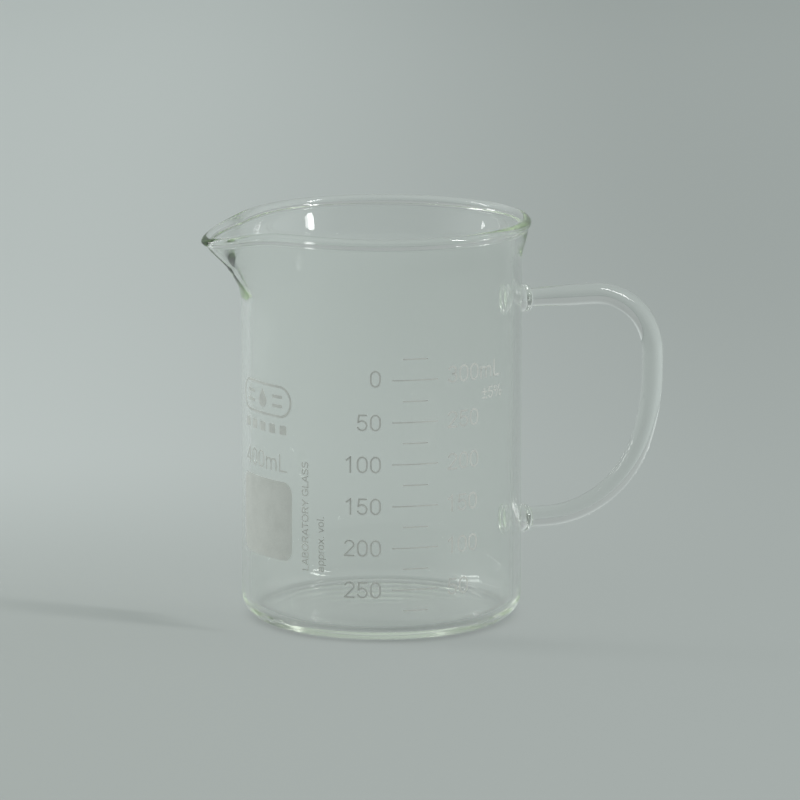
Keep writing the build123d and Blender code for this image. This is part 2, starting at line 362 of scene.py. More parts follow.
def vesselProfile():
    # One closed outline, from the middle of the base up the outside, over the rim and down to the floor.
    v, steps = vessel, vessel["steps"]
    outer, inner = v["outerRadius"], v["outerRadius"] - v["wall"]
    ring, top, bead = beadRing / mm, rimHeight / mm - v["beadRadius"], v["beadRadius"]
    heel, innerHeel = v["heelRadius"], v["innerHeelRadius"]
    hollow, hollowEdge = (0, v["punt"]), (v["puntRadius"], v["puntEdge"])
    beadArc = arc((ring, top), bead, *v["beadTurn"], steps["bead"])
    flareOut, flareIn = (outer, v["flareStart"]), (inner, v["flareStart"])
    points = [hollow] + run(hollow, hollowEdge, steps["punt"]) + [hollowEdge]
    points += arc((outer - heel, heel), heel, -90, 0, steps["heel"])
    points += run((outer, heel), flareOut, steps["wall"]) + [flareOut]
    points += run(flareOut, beadArc[0], steps["flare"], True) + beadArc
    points += run(beadArc[-1], flareIn, steps["flare"], True) + [flareIn]
    points += run(flareIn, (inner, v["floor"] + innerHeel), steps["wall"])
    points += arc((inner - innerHeel, v["floor"] + innerHeel), innerHeel, 0, -90, steps["innerHeel"])
    points += run(points[-1], (0, v["floor"]), steps["floor"]) + [(0, v["floor"])]
    return [Vector((distance * mm, 0, height * mm)) for distance, height in points]


def growVessel():
    profile = bpy.data.meshes.new("profile")
    points = vesselProfile()
    profile.from_pydata(points, [(i, i + 1) for i in range(len(points) - 1)], [])
    outline = bpy.data.objects.new("profile", profile)
    bpy.context.collection.objects.link(outline)
    v = vessel
    values = {
        "Profile": outline,
        "Segments": v["segments"],
        "Points": len(points),
        "Middle Radius": (v["outerRadius"] - v["wall"] / 2) * mm,
        "Bead Ring": beadRing,
        "Spout Start": v["spoutStart"] * mm,
        "Rim Height": rimHeight - v["beadRadius"] * mm,
        "Spout Ease": v["spoutEase"],
        "Spout Reach": spoutReach,
        "Half Angle": math.radians(v["spoutHalfAngle"]),
        "Tip Round": math.radians(v["tipRound"]),
        "Spout Blend": v["spoutBlend"] * mm,
        "Root Width": math.radians(v["rootWidth"]),
        "Root Share": v["rootShare"],
        "Pinch": v["pinch"] * mm,
        "Pinch Angle": math.radians(v["pinchAngle"]),
        "Pinch Width": math.radians(v["pinchWidth"]),
        "Tip Drop": v["tipDrop"] * mm,
        "Tip Drop Width": math.radians(v["tipDropWidth"]),
        "Tip Drop Shape": v["tipDropShape"],
        "Gather": v["gather"],
        "Material": vesselGlass,
    }
    tree, g, given = growTree("turnedVessel", values)
    info = g.node("GeometryNodeObjectInfo", None, {"Object": given["Profile"]}, "Geometry")
    grid = g.node(
        "GeometryNodeMeshGrid",
        None,
        {"Vertices X": given["Segments"] + 1, "Vertices Y": given["Points"]},
        "Mesh",
    )
    index = g.node("GeometryNodeInputIndex")
    row = index.sum("MODULO", given["Points"])
    column = (index / given["Points"]).sum("FLOOR")
    position = g.node("GeometryNodeInputPosition")
    sample = g.node(
        "GeometryNodeSampleIndex",
        {"data_type": "FLOAT_VECTOR"},
        {"Geometry": info, "Value": position, "Index": row},
    )
    parts = g.node("ShaderNodeSeparateXYZ", None, {"Vector": sample})
    distance, _, height = g.outputs(parts)

    # the columns stand closer together at the spout, which is at angle 0
    even = column / given["Segments"] * math.tau - math.pi
    angle = even - given["Gather"] * even.sum("SINE")

    risen = (height - given["Spout Start"]) / (given["Rim Height"] - given["Spout Start"])
    ripe = risen.sum("MAXIMUM", 0.0).sum("MINIMUM", 1.0) ** given["Root Share"]

    def rim(at):
        # distance of the outline's middle from the axis, at the top of the spout: two straight flanks
        # with a round tip, blended into the ring
        size = (at * at + given["Tip Round"] * given["Tip Round"]).sum("SQRT")
        limit = math.pi / 2 - given["Half Angle"]
        turned = given["Half Angle"] + size.sum("MINIMUM", limit)
        tip = (given["Half Angle"] + given["Tip Round"]).sum("SINE")
        flank = given["Spout Reach"] * tip / turned.sum("SINE")
        fromPinch = (at.sum("ABSOLUTE") - given["Pinch Angle"]) / given["Pinch Width"]
        ring = given["Bead Ring"] - given["Pinch"] * fromPinch.bell()
        lip = flank.sum("SMOOTH_MAX", ring, given["Spout Blend"])
        # lower down the spout is a broad soft swelling
        swelling = (at / given["Root Width"]).bell()
        root = given["Bead Ring"] + (given["Spout Reach"] - given["Bead Ring"]) * swelling
        return ripe * lip + (1 - ripe) * root

    share = risen.sum("SMOOTH_MAX", 0.0, given["Spout Ease"]).sum("MINIMUM", 1.0)
    step = 0.004  # radians to each side, for the slope of the outline
    middle = given["Middle Radius"] + share * (rim(angle) - given["Bead Ring"])
    slope = share * (rim(angle + step) - rim(angle - step)) / (2 * step)
    # outward normal of the plan outline, in radial and sideways parts
    length = (middle * middle + slope * slope).sum("SQRT")
    outward, sideways = middle / length, (slope * -1.0) / length
    offset = distance - given["Middle Radius"]
    # below the spout the share is 0, so the outline there stays a circle round the axis
    reach = middle + offset * outward
    aside = offset * sideways
    cosine, sine = angle.sum("COSINE"), angle.sum("SINE")
    x = (reach * cosine - aside * sine) * -1.0
    y = reach * sine + aside * cosine
    fall = (angle.sum("ABSOLUTE") / given["Tip Drop Width"]) ** given["Tip Drop Shape"]
    z = height - given["Tip Drop"] * share * (fall * -1.0).sum("EXPONENT")
    moved = g.node("ShaderNodeCombineXYZ", None, {"X": x, "Y": y, "Z": z})
    shaped = g.node("GeometryNodeSetPosition", None, {"Geometry": grid, "Position": moved})
    closed = g.node("GeometryNodeMergeByDistance", None, {"Geometry": shaped, "Distance": mergeDistance})
    smooth = g.node("GeometryNodeSetShadeSmooth", None, {"Geometry": closed, "Shade Smooth": True})
    finishTree(g, smooth, given["Material"])
    mesh = bake("beakerVessel", tree, values)
    bpy.data.objects.remove(outline)
    return mesh


def faceOutwards(mesh):
    # A closed shell whose volume comes out negative is inside out.
    volume = 0.0
    mesh.calc_loop_triangles()
    for triangle in mesh.loop_triangles:
        a, b, c = (mesh.vertices[i].co for i in triangle.vertices)
        volume += a.dot(b.cross(c))
    if volume < 0:
        mesh.flip_normals()


def sharpenCreases(mesh, limit):
    # Smooth shading stops at edges that turn more than the limit.
    work = bmesh.new()
    work.from_mesh(mesh)
    for edge in work.edges:
        edge.smooth = len(edge.link_faces) == 2 and edge.calc_face_angle() < math.radians(limit)
    work.to_mesh(mesh)
    work.free()


vesselMesh = growVessel()
faceOutwards(vesselMesh)
keep("beakerVessel", vesselMesh, vesselGlass, ["vessel"], "clear_glass")
print("vessel", len(vesselMesh.vertices), "points")

# the rod that is bent into the handle
handle = {
    "radius": 2.95,
    "upperHeight": 87.0,
    "lowerHeight": 24.2,
    "reach": 81.5,
    "cornerRadius": 18.0,
    "sweepRadius": 60.0,
    "sweepStart": 64.0,
    "heelBendRadius": 30.0,
    "neckRadius": 2.55,
    "neckLength": 13.0,
    "sides": 48,
    "steps": {"top": 24, "corner": 40, "drop": 6, "sweep": 30, "heelBend": 50, "bottom": 14},
}
creaseAngle = 50


def handlePath():
    # The rod's middle line in the XZ plane: out at the top, round a tight bend, a long sweep and back in.
    h, steps = handle, handle["steps"]
    start = handleLow.x / mm
    corner = (h["reach"] - h["cornerRadius"], h["upperHeight"] - h["cornerRadius"])
    sweep = (h["reach"] - h["sweepRadius"], h["sweepStart"])
    drop = (sweep[1] - h["lowerHeight"] - h["heelBendRadius"]) / (h["sweepRadius"] - h["heelBendRadius"])
    lean = math.degrees(math.asin(drop))
    across = math.cos(math.radians(lean)) * (h["sweepRadius"] - h["heelBendRadius"])
    heel = (sweep[0] + across, h["lowerHeight"] + h["heelBendRadius"])
    upper, lower = (start, h["upperHeight"]), (start, h["lowerHeight"])
    points = [upper] + run(upper, (corner[0], h["upperHeight"]), steps["top"])
    points += arc(corner, h["cornerRadius"], 90, 0, steps["corner"])
    points += run(points[-1], (h["reach"], h["sweepStart"]), steps["drop"])
    points += arc(sweep, h["sweepRadius"], 0, -lean, steps["sweep"])
    points += arc(heel, h["heelBendRadius"], -lean, -90, steps["heelBend"])[1:]
    points += run(points[-1], lower, steps["bottom"]) + [lower]
    return [Vector((x * mm, 0, z * mm)) for x, z in points]


def bendRod():
    path = bpy.data.meshes.new("rodPath")
    points = handlePath()
    path.from_pydata(points, [(i, i + 1) for i in range(len(points) - 1)], [])
    line = bpy.data.objects.new("rodPath", path)
    bpy.context.collection.objects.link(line)
    values = {
        "Path": line,
        "Sides": handle["sides"],
        "Radius": handle["radius"] * mm,
        "Neck Radius": handle["neckRadius"] * mm,
        "Neck Length": handle["neckLength"] * mm,
        "Material": rodGlass,
    }
    tree, g, given = growTree("bentRod", values)
    info = g.node("GeometryNodeObjectInfo", None, {"Object": given["Path"]}, "Geometry")
    curve = g.node("GeometryNodeMeshToCurve", None, {"Mesh": info})
    along = g.node("GeometryNodeSplineParameter", output="Length")
    share = (along / given["Neck Length"]).sum("MINIMUM", 1.0)
    ease = share * share * (3.0 - 2.0 * share)
    girth = given["Neck Radius"] + ease * (given["Radius"] - given["Neck Radius"])
    ring = g.node(
        "GeometryNodeCurvePrimitiveCircle",
        {"mode": "RADIUS"},
        {"Resolution": given["Sides"], "Radius": 1.0},
        "Curve",
    )
    swept = g.node(
        "GeometryNodeCurveToMesh",
        None,
        {"Curve": curve, "Profile Curve": ring, "Scale": girth, "Fill Caps": True},
    )
    closed = g.node("GeometryNodeMergeByDistance", None, {"Geometry": swept, "Distance": mergeDistance})
    smooth = g.node("GeometryNodeSetShadeSmooth", None, {"Geometry": closed, "Shade Smooth": True})
    finishTree(g, smooth, given["Material"])
    mesh = bake("handleRod", tree, values)
    bpy.data.objects.remove(line)
    return mesh


rodMesh = bendRod()
faceOutwards(rodMesh)
sharpenCreases(rodMesh, creaseAngle)
keep("handleRod", rodMesh, rodGlass, ["handle"], "clear_glass")
print("handle rod", len(rodMesh.vertices), "points")

# the two buttons of glass; the profile's pairs are distance from the wall and radius
pad = {
    "profile": [
        (0.0, 4.5), (0.5, 4.15), (1.2, 3.85), (2.2, 3.68), (3.2, 3.7), (3.9, 3.85), (4.3, 3.9),
        (4.7, 3.78), (4.98, 3.45), (5.12, 3.0), (5.18, 2.6),
    ],
    "gap": 0.02,
    "sides": 72,
    "rings": 10,
}


def turnPad(name, height):
    # A button of glass turned about a line along X, its foot hollowed to follow the round wall.
    wallRadius = vessel["outerRadius"] + pad["gap"]
    outline = pad["profile"]
    foot = [(0.0, outline[0][1] * ring / pad["rings"]) for ring in range(1, pad["rings"])]
    end = [(outline[-1][0], outline[-1][1] * ring / pad["rings"]) for ring in range(pad["rings"] - 1, 0, -1)]
    rows = foot + outline + end
    length = outline[-1][0]
    points, faces = [], []

    def place(away, radius, turn):
        y, z = radius * math.cos(turn), radius * math.sin(turn)
        wall = math.sqrt(wallRadius**2 - y * y)
        flat = vessel["outerRadius"] + away
        return Vector((wall + (flat - wall) * (away / length), y, z + height)) * mm

    points.append(place(0.0, 0.0, 0.0))
    for away, radius in rows:
        points += [place(away, radius, math.tau * side / pad["sides"]) for side in range(pad["sides"])]
    points.append(place(length, 0.0, 0.0))
    sides, last = pad["sides"], len(points) - 1
    for side in range(sides):
        after = (side + 1) % sides
        faces.append((0, 1 + after, 1 + side))
        for row in range(len(rows) - 1):
            a, b = 1 + row * sides, 1 + (row + 1) * sides
            faces.append((a + side, a + after, b + after, b + side))
        a = 1 + (len(rows) - 1) * sides
        faces.append((a + side, a + after, last))
    mesh = bpy.data.meshes.new(name)
    mesh.from_pydata(points, [], faces)
    mesh.update()
    faceOutwards(mesh)
    mesh.polygons.foreach_set("use_smooth", [True] * len(mesh.polygons))
    sharpenCreases(mesh, creaseAngle)
    return mesh


for name, node, height in (
    ("upperWeldPad", "upper_handle_pad", handle["upperHeight"]),
    ("lowerWeldPad", "lower_handle_pad", handle["lowerHeight"]),
):
    padMesh = turnPad(name, height)
    keep(name, padMesh, padGlass, [node], "clear_glass")
    print(name, len(padMesh.vertices), "points")

# the enamel print is drawn flat, cut into narrow columns, given its thickness and bent round the wall
film = {"lift": 0.012, "thickness": 0.05, "column": 0.7, "merge": 1e-4}


def wrapFlat(flat, name, angle, height, upwards=False):
    # flat holds faces in its XY plane, in millimetres. Its origin goes to the angle and height.
    if upwards:
        quarterTurn = Matrix.Rotation(math.pi / 2, 3, "Z")
        bmesh.ops.rotate(flat, cent=(0, 0, 0), matrix=quarterTurn, verts=flat.verts)
    low = min(vertex.co.x for vertex in flat.verts)
    high = max(vertex.co.x for vertex in flat.verts)
    for column in range(1, int((high - low) / film["column"]) + 1):
        bmesh.ops.bisect_plane(
            flat,
            geom=flat.verts[:] + flat.edges[:] + flat.faces[:],
            plane_co=(low + column * film["column"], 0, 0),
            plane_no=(1, 0, 0),
        )
    for face in flat.faces:
        if face.normal.z < 0:
            face.normal_flip()
    grown = bmesh.ops.extrude_face_region(flat, geom=flat.faces[:], use_keep_orig=True)
    raised = {vertex for vertex in grown["geom"] if isinstance(vertex, bmesh.types.BMVert)}
    inner = vessel["outerRadius"] + film["lift"]
    for vertex in flat.verts:
        turn = math.radians(angle) + vertex.co.x / vessel["outerRadius"]
        radius = inner + (film["thickness"] if vertex in raised else 0)
        vertex.co = Vector((math.sin(turn) * radius, -math.cos(turn) * radius, height + vertex.co.y)) * mm
    bmesh.ops.recalc_face_normals(flat, faces=flat.faces[:])
    mesh = bpy.data.meshes.new(name)
    flat.to_mesh(mesh)
    flat.free()
    return mesh


# Plain grotesque characters on a cap height of 1: how far each one steps on, its bars (two ends) and its
# bows (centre, half width, half height, first and last angle).
characters = {
    " ": (0.39, [], []),
    ".": (0.34, [(0.17, 0.0, 0.17, 0.13)], []),
    "0": (0.776, [(0.118, 0.38, 0.118, 0.62), (0.658, 0.38, 0.658, 0.62)],
          [(0.388, 0.62, 0.27, 0.33, 0, 180), (0.388, 0.38, 0.27, 0.33, 180, 360)]),
    "1": (0.776, [(0.46, 0.0, 0.46, 1.0), (0.455, 0.925, 0.19, 0.735)], []),
    "2": (0.776, [(0.6, 0.585, 0.125, 0.09), (0.06, 0.058, 0.7, 0.058)],
          [(0.385, 0.71, 0.265, 0.235, -34, 172)]),
    "3": (0.776, [], [(0.365, 0.735, 0.24, 0.21, -92, 165), (0.375, 0.288, 0.275, 0.235, -168, 92)]),
    "4": (0.776, [(0.53, 0.0, 0.53, 1.0), (0.52, 0.94, 0.08, 0.29), (0.03, 0.285, 0.72, 0.285)], []),
    "5": (0.776, [(0.17, 0.942, 0.67, 0.942), (0.2, 0.96, 0.145, 0.48)],
          [(0.375, 0.33, 0.275, 0.28, -165, 143)]),
    "m": (1.163, [(0.15, 0.0, 0.15, 0.72), (0.58, 0.0, 0.58, 0.48), (1.01, 0.0, 1.01, 0.48)],
          [(0.365, 0.48, 0.215, 0.19, 0, 180), (0.795, 0.48, 0.215, 0.19, 0, 180)]),
    "L": (0.776, [(0.16, 0.0, 0.16, 1.0), (0.11, 0.058, 0.71, 0.058)], []),
    "±": (0.78, [(0.07, 0.6, 0.7, 0.6), (0.385, 0.3, 0.385, 0.9), (0.07, 0.08, 0.7, 0.08)], []),
    "%": (1.24, [(0.88, 1.0, 0.36, 0.0)],
          [(0.25, 0.73, 0.17, 0.22, 0, 360), (0.99, 0.25, 0.17, 0.22, 0, 360)]),
    "A": (0.93, [(0.05, 0.0, 0.465, 0.98), (0.88, 0.0, 0.465, 0.98), (0.18, 0.33, 0.75, 0.33)], []),
    "B": (0.93, [(0.16, 0.0, 0.16, 1.0), (0.16, 0.945, 0.5, 0.945), (0.16, 0.535, 0.53, 0.535),
                 (0.16, 0.055, 0.53, 0.055)],
          [(0.5, 0.74, 0.24, 0.205, -90, 90), (0.53, 0.295, 0.28, 0.24, -90, 90)]),
    "G": (1.09, [(0.56, 0.45, 1.0, 0.45), (0.95, 0.45, 0.95, 0.14)], [(0.54, 0.5, 0.43, 0.45, 33, 322)]),
    "O": (1.09, [], [(0.54, 0.5, 0.44, 0.45, 0, 360)]),
    "R": (1.0, [(0.16, 0.0, 0.16, 1.0), (0.16, 0.945, 0.57, 0.945), (0.16, 0.5, 0.57, 0.5),
                (0.53, 0.49, 0.9, 0.0)],
          [(0.57, 0.7225, 0.26, 0.2225, -90, 90)]),
    "S": (0.93, [], [(0.46, 0.73, 0.3, 0.22, 12, 270), (0.46, 0.28, 0.34, 0.23, -168, 90)]),
    "T": (0.853, [(0.03, 0.945, 0.82, 0.945), (0.425, 0.0, 0.425, 0.945)], []),
    "Y": (0.93, [(0.05, 1.0, 0.465, 0.42), (0.88, 1.0, 0.465, 0.42), (0.465, 0.0, 0.465, 0.45)], []),
    "a": (0.776, [(0.61, 0.0, 0.61, 0.5)],
          [(0.37, 0.5, 0.24, 0.18, 0, 165), (0.34, 0.22, 0.25, 0.18, 0, 360)]),
    "l": (0.31, [(0.155, 0.0, 0.155, 1.0)], []),
    "o": (0.776, [], [(0.388, 0.36, 0.28, 0.32, 0, 360)]),
    "p": (0.776, [(0.15, -0.28, 0.15, 0.72)], [(0.42, 0.36, 0.26, 0.32, 0, 360)]),
    "r": (0.465, [(0.15, 0.0, 0.15, 0.72)], [(0.42, 0.4, 0.27, 0.28, 78, 180)]),
    "v": (0.698, [(0.05, 0.72, 0.35, 0.02), (0.65, 0.72, 0.35, 0.02)], []),
    "x": (0.698, [(0.05, 0.0, 0.64, 0.72), (0.64, 0.0, 0.05, 0.72)], []),
}
bow = {"degreesPerStep": 12, "fewestSteps": 8}


def ribbon(points, width, closed=False):
    # Four-sided faces along a line of points, as outlines.
    sides = []
    for place, (x, y) in enumerate(points):
        before = points[place - 1] if place or closed else points[0]
        after = points[(place + 1) % len(points)] if place + 1 < len(points) or closed else points[-1]
        along = (Vector(after) - Vector(before)).normalized()
        across = Vector((-along.y, along.x)) * width / 2
        sides.append(((x + across.x, y + across.y), (x - across.x, y - across.y)))
    pairs = list(zip(sides, sides[1:] + sides[:1])) if closed else list(zip(sides, sides[1:]))
    return [(a[0], a[1], b[1], b[0]) for a, b in pairs]


def flatText(text, cap, stroke, align):
    # One closed ribbon of faces for each stroke, with the baseline at y = 0.
    outlines, pen = [], 0.0
    for character in text:
        advance, bars, bows = characters[character]
        lines = [([(x0, y0), (x1, y1)], False) for x0, y0, x1, y1 in bars]
        for x, y, halfWidth, halfHeight, first, last in bows:
            steps = max(bow["fewestSteps"], (last - first) // bow["degreesPerStep"])
            turns = [math.radians(first + (last - first) * step / steps) for step in range(steps + 1)]
            points = [(x + halfWidth * math.cos(turn), y + halfHeight * math.sin(turn)) for turn in turns]
            closed = last - first == 360
            lines.append((points[:-1] if closed else points, closed))
        for points, closed in lines:
            outlines.append(ribbon([((pen + x) * cap, y * cap) for x, y in points], stroke, closed))
        pen += advance
    xs = [x for strip in outlines for face in strip for x, _ in face]
    shift = {"left": min(xs), "right": max(xs), "middle": (min(xs) + max(xs)) / 2}[align]
    flat = bmesh.new()
    for strip in outlines:
        made = []
        for face in strip:
            made += [flat.verts.new((x - shift, y, 0)) for x, y in face]
            flat.faces.new(made[-4:])
        bmesh.ops.remove_doubles(flat, verts=made, dist=film["merge"])
    return flat


def flatShapes(outlines):
    # Faces in the XY plane from closed outlines.
    flat = bmesh.new()
    for outline in outlines:
        flat.faces.new([flat.verts.new((x, y, 0)) for x, y in outline])
    bmesh.ops.triangulate(flat, faces=flat.faces[:])
    return flat


def gather(flatPieces, name):
    # Joins wrapped pieces into one mesh.
    joined = bmesh.new()
    for mesh in flatPieces:
        joined.from_mesh(mesh)
        bpy.data.meshes.remove(mesh)
    mesh = bpy.data.meshes.new(name)
    joined.to_mesh(mesh)
    joined.free()
    return mesh


# the lines and both columns of numbers; volumes are millilitres
scale = {
    "topVolume": 300,
    "volumeStep": 50,
    "topLine": 73.4,
    "pitch": 11.64,
    "lines": 13,
    "longFrom": -15.6,
    "longTo": 3.4,
    "shortFrom": -11.2,
    "shortTo": -0.9,
    "lineWidth": 0.34,
    "lineColumns": 24,
    "capHeight": 4.65,
    "stroke": 0.5,
    "topContentLift": 0.9,
    "topPouredLift": 0.45,
    "pouredEdge": -20.0,
    "contentEdge": 7.8,
    "toleranceEdge": 37.7,
    "toleranceHeight": 66.2,
    "toleranceCap": 3.2,
    "toleranceStroke": 0.38,
}


def level(millilitres):
    # height of the line for a volume
    return scale["topLine"] - (scale["topVolume"] - millilitres) / scale["volumeStep"] * scale["pitch"]


def drawTicks():
    # One line each 25 mL up to 325 mL: every second one is long.
    s = scale
    values = {
        "Lines": s["lines"],
        "Lowest": level(s["volumeStep"] / 2) * mm,
        "Step": s["pitch"] / 2 * mm,
        "Columns": s["lineColumns"],
        "Long From": math.radians(s["longFrom"]),
        "Long To": math.radians(s["longTo"]),
        "Short From": math.radians(s["shortFrom"]),
        "Short To": math.radians(s["shortTo"]),
        "Line Width": s["lineWidth"] * mm,
        "Wall Radius": (vessel["outerRadius"] + film["lift"]) * mm,
        "Thickness": film["thickness"] * mm,
        "Material": whiteEnamel,
    }
    tree, g, given = growTree("scaleTicks", values)
    rows = g.node("GeometryNodePoints", None, {"Count": given["Lines"]})
    number = g.node("GeometryNodeInputIndex")
    isLong = number.sum("MODULO", 2.0)
    first = given["Short From"] + isLong * (given["Long From"] - given["Short From"])
    last = given["Short To"] + isLong * (given["Long To"] - given["Short To"])
    spot = g.node(
        "ShaderNodeCombineXYZ",
        None,
        {"X": (first + last) * 0.5, "Y": 0.0, "Z": given["Lowest"] + number * given["Step"]},
    )
    placed = g.node("GeometryNodeSetPosition", None, {"Geometry": rows, "Position": spot})
    # the bar is a unit box: x becomes the angle, y the depth and z the height
    corners = {"Vertices X": given["Columns"], "Vertices Y": 2, "Vertices Z": 2}
    bar = g.node("GeometryNodeMeshCube", None, corners, "Mesh")
    size = g.node(
        "ShaderNodeCombineXYZ", None, {"X": last - first, "Y": given["Thickness"], "Z": given["Line Width"]}
    )
    bars = g.node("GeometryNodeInstanceOnPoints", None, {"Points": placed, "Instance": bar, "Scale": size})
    real = g.node("GeometryNodeRealizeInstances", None, {"Geometry": bars})
    at = g.node("ShaderNodeSeparateXYZ", None, {"Vector": g.node("GeometryNodeInputPosition")})
    turn, depth, height = g.outputs(at)
    radius = given["Wall Radius"] + given["Thickness"] * 0.5 - depth
    bent = g.node(
        "ShaderNodeCombineXYZ",
        None,
        {"X": turn.sum("SINE") * radius, "Y": turn.sum("COSINE") * radius * -1.0, "Z": height},
    )
    wrapped = g.node("GeometryNodeSetPosition", None, {"Geometry": real, "Position": bent})
    finishTree(g, wrapped, given["Material"])
    return bake("scaleTicks", tree, values)


tickMesh = drawTicks()
faceOutwards(tickMesh)
keep("scaleTicks", tickMesh, whiteEnamel, ["scale_lines"], "white_enamel")
print("scale ticks", len(tickMesh.polygons), "faces")


def scaleText(text, angle, millilitres, align, lift=0.0):
    flat = flatText(text, scale["capHeight"], scale["stroke"], align)
    return wrapFlat(flat, "scaleText", angle, level(millilitres) - scale["capHeight"] / 2 + lift)


heldVolumes = range(scale["volumeStep"], scale["topVolume"], scale["volumeStep"])
contentTexts = [scaleText(f"{held}", scale["contentEdge"], held, "left") for held in heldVolumes]
contentTexts.append(
    scaleText(
        f"{scale['topVolume']}mL", scale["contentEdge"], scale["topVolume"], "left", scale["topContentLift"]
    )
)
contentMesh = gather(contentTexts, "contentNumbers")
keep("contentNumbers", contentMesh, whiteEnamel, ["content_numbers"], "white_enamel")
pouredTexts = [
    scaleText(f"{scale['topVolume'] - held}", scale["pouredEdge"], held, "right") for held in heldVolumes
]
pouredTexts.append(
    scaleText("0", scale["pouredEdge"], scale["topVolume"], "right", scale["topPouredLift"])
)
pouredMesh = gather(pouredTexts, "pouredNumbers")
keep("pouredNumbers", pouredMesh, whiteEnamel, ["poured_numbers"], "white_enamel")
toleranceFlat = flatText("±5%", scale["toleranceCap"], scale["toleranceStroke"], "right")
toleranceMesh = wrapFlat(toleranceFlat, "toleranceMark", scale["toleranceEdge"], scale["toleranceHeight"])
keep("toleranceMark", toleranceMesh, whiteEnamel, ["tolerance_mark"], "white_enamel")
print("scale numbers")

# the writing patch, the capacity and the two notes, beside the scale
label = {
    "angle": -76.4,
    "capacityBase": 45.85,
    "capacityCap": 4.9,
    "capacityStroke": 0.52,
    "patchWidth": 24.0,
    "patchBase": 21.2,
    "patchHeight": 22.0,
    "patchCorner": 3.0,
    "noteBase": 19.5,
    "typeAngle": -50.6,
    "typeCap": 2.1,
    "typeStroke": 0.32,
    "volumeAngle": -43.6,
    "volumeCap": 2.2,
    "volumeStroke": 0.3,
}
emblem = {
    "width": 24.0,
    "depth": 9.0,
    "corner": 4.4,
    "line": 0.7,
    "height": 65.4,
    "bar": (4.0, 0.9),
    "barPitch": 13.0,
    "barGap": 2.6,
    "barCorner": 0.3,
    "rowHeight": 57.6,
    "square": 2.6,
    "squarePitch": 4.4,
    "squares": 5,
    "squareCorner": 0.4,
    "cornerSteps": 3,
    "dropRadius": 1.9,
    "dropApex": 3.4,
    "dropShift": 0.6,
    "dropSteps": 24,
    "merge": 1e-5,
}


def roundedOutline(width, height, corner, middle=(0, 0), steps=10):
    # A rectangle with round corners, as a closed outline.
    x, y = width / 2 - corner, height / 2 - corner
    points = []
    for (sx, sy), first in zip(((1, 1), (-1, 1), (-1, -1), (1, -1)), (0, 90, 180, 270)):
        points += arc((middle[0] + sx * x, middle[1] + sy * y), corner, first, first + 90, steps)
    return points


patchFlat = flatShapes([roundedOutline(label["patchWidth"], label["patchHeight"], label["patchCorner"])])
patchMesh = wrapFlat(patchFlat, "writingPatch", label["angle"], label["patchBase"] + label["patchHeight"] / 2)
keep("writingPatch", patchMesh, patchEnamel, ["writing_patch"], "white_enamel")
capacityFlat = flatText("400mL", label["capacityCap"], label["capacityStroke"], "middle")
capacityMesh = wrapFlat(capacityFlat, "capacityMark", label["angle"], label["capacityBase"])
keep("capacityMark", capacityMesh, whiteEnamel, ["capacity_mark"], "white_enamel")
typeFlat = flatText("LABORATORY GLASS", label["typeCap"], label["typeStroke"], "left")
typeMesh = wrapFlat(typeFlat, "glassTypeNote", label["typeAngle"], label["noteBase"], True)
keep("glassTypeNote", typeMesh, whiteEnamel, ["glass_type_note"], "white_enamel")
volumeFlat = flatText("approx. vol.", label["volumeCap"], label["volumeStroke"], "left")
volumeMesh = wrapFlat(volumeFlat, "approxVolumeNote", label["volumeAngle"], label["noteBase"], True)
keep("approxVolumeNote", volumeMesh, whiteEnamel, ["approx_volume_note"], "white_enamel")


def drawEmblem():
    # A plain drop in a rounded frame with two bars at each side, over a row of squares.
    e = emblem
    outer = roundedOutline(e["width"], e["depth"], e["corner"])
    inner = roundedOutline(e["width"] - 2 * e["line"], e["depth"] - 2 * e["line"], e["corner"] - e["line"])
    count = len(outer)
    ring = [(outer[i], outer[(i + 1) % count], inner[(i + 1) % count], inner[i]) for i in range(count)]
    touch = math.degrees(math.asin(e["dropRadius"] / e["dropApex"]))
    dropArc = arc((0, -e["dropShift"]), e["dropRadius"], 180 - touch, 360 + touch, e["dropSteps"])
    drop = dropArc + [(0, e["dropApex"] - e["dropShift"])]
    bars = [
        roundedOutline(
            *e["bar"], e["barCorner"], (side * e["barPitch"] / 2, row * e["barGap"] / 2), e["cornerSteps"]
        )
        for side in (-1, 1)
        for row in (-1, 1)
    ]
    rowDrop = e["rowHeight"] - e["height"]
    squares = [
        roundedOutline(
            e["square"],
            e["square"],
            e["squareCorner"],
            ((place - (e["squares"] - 1) / 2) * e["squarePitch"], rowDrop),
            e["cornerSteps"],
        )
        for place in range(e["squares"])
    ]
    flat = flatShapes(ring + [drop] + bars + squares)
    bmesh.ops.remove_doubles(flat, verts=flat.verts[:], dist=e["merge"])
    return wrapFlat(flat, "plainEmblem", label["angle"], e["height"])


keep("plainEmblem", drawEmblem(), whiteEnamel, ["plain_emblem"], "white_enamel")
print("label")

# the camera looks at a point beside the beaker's axis from 1.6 m
view = {
    "distance": 1.6,
    "elevation": 10.87,
    "turn": -20.0,
    "aside": 5.17,
    "targetHeight": 60.65,
    "lens": 258.768,
    "sensorWidth": 36,
    "clip": (0.05, 50),
}


